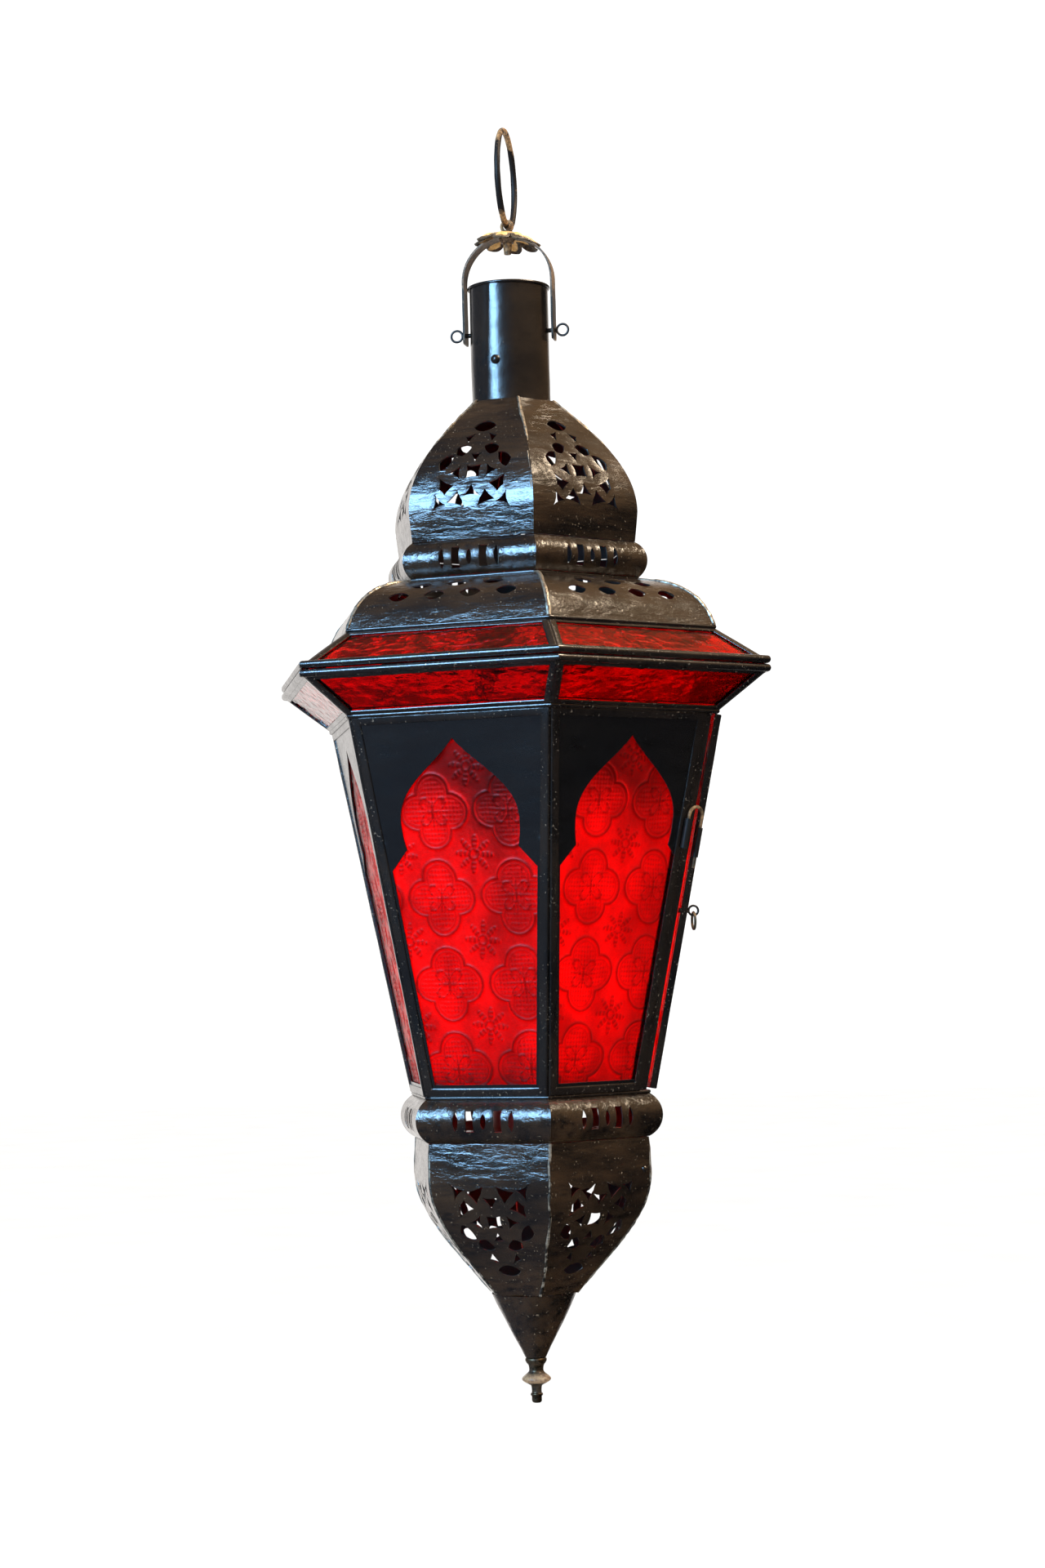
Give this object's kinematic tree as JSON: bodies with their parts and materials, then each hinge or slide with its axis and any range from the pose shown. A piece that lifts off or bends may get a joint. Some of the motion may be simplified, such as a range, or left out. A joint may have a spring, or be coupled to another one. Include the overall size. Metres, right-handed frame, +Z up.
{
  "type": "hanging candle lantern",
  "caption": "Hexagonal pierced black tin lantern with red pressed-glass arched panes, a hinged latched door, bail and hanging ring, and a seat for a short candle.",
  "frame": {"origin": "inside top of the hanging ring, where a hook carries it", "axes": "+Z up through the finial and the ring, +X square to the door and out through it, +Y to the left seen by someone facing out through the door"},
  "size_m": [0.2528, 0.292, 0.7023],
  "materials": {
    "ring_iron": "forged iron with a thin brown rust",
    "gilt_tin": "tin sheet with worn yellow lacquer over brown",
    "strap_iron": "worn black paint over brown steel",
    "dark_wire": "black painted wire and tube",
    "rusty_wire": "wire with light rust",
    "blackened_tin": "semi-gloss blackened tin, scuffed",
    "black_channel": "semi-gloss blackened channel with solder",
    "black_arch_tin": "satin blackened sheet",
    "red_pressed_glass": "red pressed glass with a medallion pattern",
    "red_hammered_glass": "red hammered glass",
    "worn_brass": "dull brown turned brass",
    "plain_tin": "plain tin sheet, smoked",
    "wax": "white wax",
    "wick_cotton": "burnt cotton"
  },
  "bodies": {
    "ring": {"hanging_ring": "ring_iron"},
    "swivel": {"swivel_eye": "ring_iron"},
    "bail": {"rosette": "gilt_tin", "rosette_washer": "strap_iron", "bail_strap": "strap_iron"},
    "lantern": {"bail_eye_left": "dark_wire", "bail_eye_right": "dark_wire", "chimney_tube": "blackened_tin", "sheet_rivets": "dark_wire", "dome_petal_1": "blackened_tin", "dome_petal_2": "blackened_tin", "dome_petal_3": "blackened_tin", "dome_petal_4": "blackened_tin", "dome_petal_5": "blackened_tin", "dome_petal_6": "blackened_tin", "upper_collar": "blackened_tin", "shoulder_panels": "blackened_tin", "upper_band_frame": "black_channel", "upper_band_glass": "red_hammered_glass", "lower_band_frame": "black_channel", "lower_band_glass": "red_hammered_glass", "side_frame_1": "black_channel", "side_frame_2": "black_channel", "side_frame_3": "black_channel", "side_frame_4": "black_channel", "side_frame_5": "black_channel", "side_glass_1": "red_pressed_glass", "side_glass_2": "red_pressed_glass", "side_glass_3": "red_pressed_glass", "side_glass_4": "red_pressed_glass", "side_glass_5": "red_pressed_glass", "side_arch_1": "black_arch_tin", "side_arch_2": "black_arch_tin", "side_arch_3": "black_arch_tin", "side_arch_4": "black_arch_tin", "side_arch_5": "black_arch_tin", "hinge_knuckles": "dark_wire", "hinge_pins": "dark_wire", "latch_tube": "dark_wire", "lower_collar": "blackened_tin", "bowl_petal_1": "blackened_tin", "bowl_petal_2": "blackened_tin", "bowl_petal_3": "blackened_tin", "bowl_petal_4": "blackened_tin", "bowl_petal_5": "blackened_tin", "bowl_petal_6": "blackened_tin", "bottom_cone": "blackened_tin", "finial": "worn_brass", "candle_bridge": "plain_tin", "candle_cup": "plain_tin"},
    "door": {"door_frame": "black_channel", "door_glass": "red_pressed_glass", "door_arch": "black_arch_tin", "door_knuckles": "dark_wire", "latch_guide": "dark_wire", "pull_eye": "dark_wire"},
    "latch": {"latch_pin": "rusty_wire"},
    "pull": {"pull_ring": "dark_wire"},
    "candle": {"candle": "wax", "wick": "wick_cotton"}
  },
  "joints": [
    {"name": "ring_swing", "type": "hinge", "parent": "ring", "child": "swivel", "pos_m": [0, 0, -0.0514], "axis": [0.309, 0.9511, 0], "range_deg": [-70, 70]},
    {"name": "swivel_turn", "type": "hinge", "parent": "swivel", "child": "bail", "pos_m": [0, 0, -0.057], "axis": [0, 0, 1], "continuous": true},
    {"name": "bail_swing", "type": "hinge", "parent": "bail", "child": "lantern", "pos_m": [0, 0, -0.1112], "axis": [0.9397, -0.342, 0], "range_deg": [-80, 80]},
    {"name": "door_swing", "type": "hinge", "parent": "lantern", "child": "door", "pos_m": [0.06302, 0.03638, -0.5306], "axis": [0.1823, 0.1052, 0.9776], "range_deg": [0, 105]},
    {"name": "latch_lift", "type": "slide", "parent": "door", "child": "latch", "axis": [0.1823, -0.1052, 0.9776], "range_m": [0, 0.017]},
    {"name": "pull_swing", "type": "hinge", "parent": "door", "child": "pull", "pos_m": [0.08573, -0.04307, -0.4366], "axis": [1, 0, 0], "range_deg": [-60, 60]},
    {"name": "candle_lift", "type": "slide", "parent": "lantern", "child": "candle", "axis": [0, 0, 1], "range_m": [0, 0.06]}
  ]
}
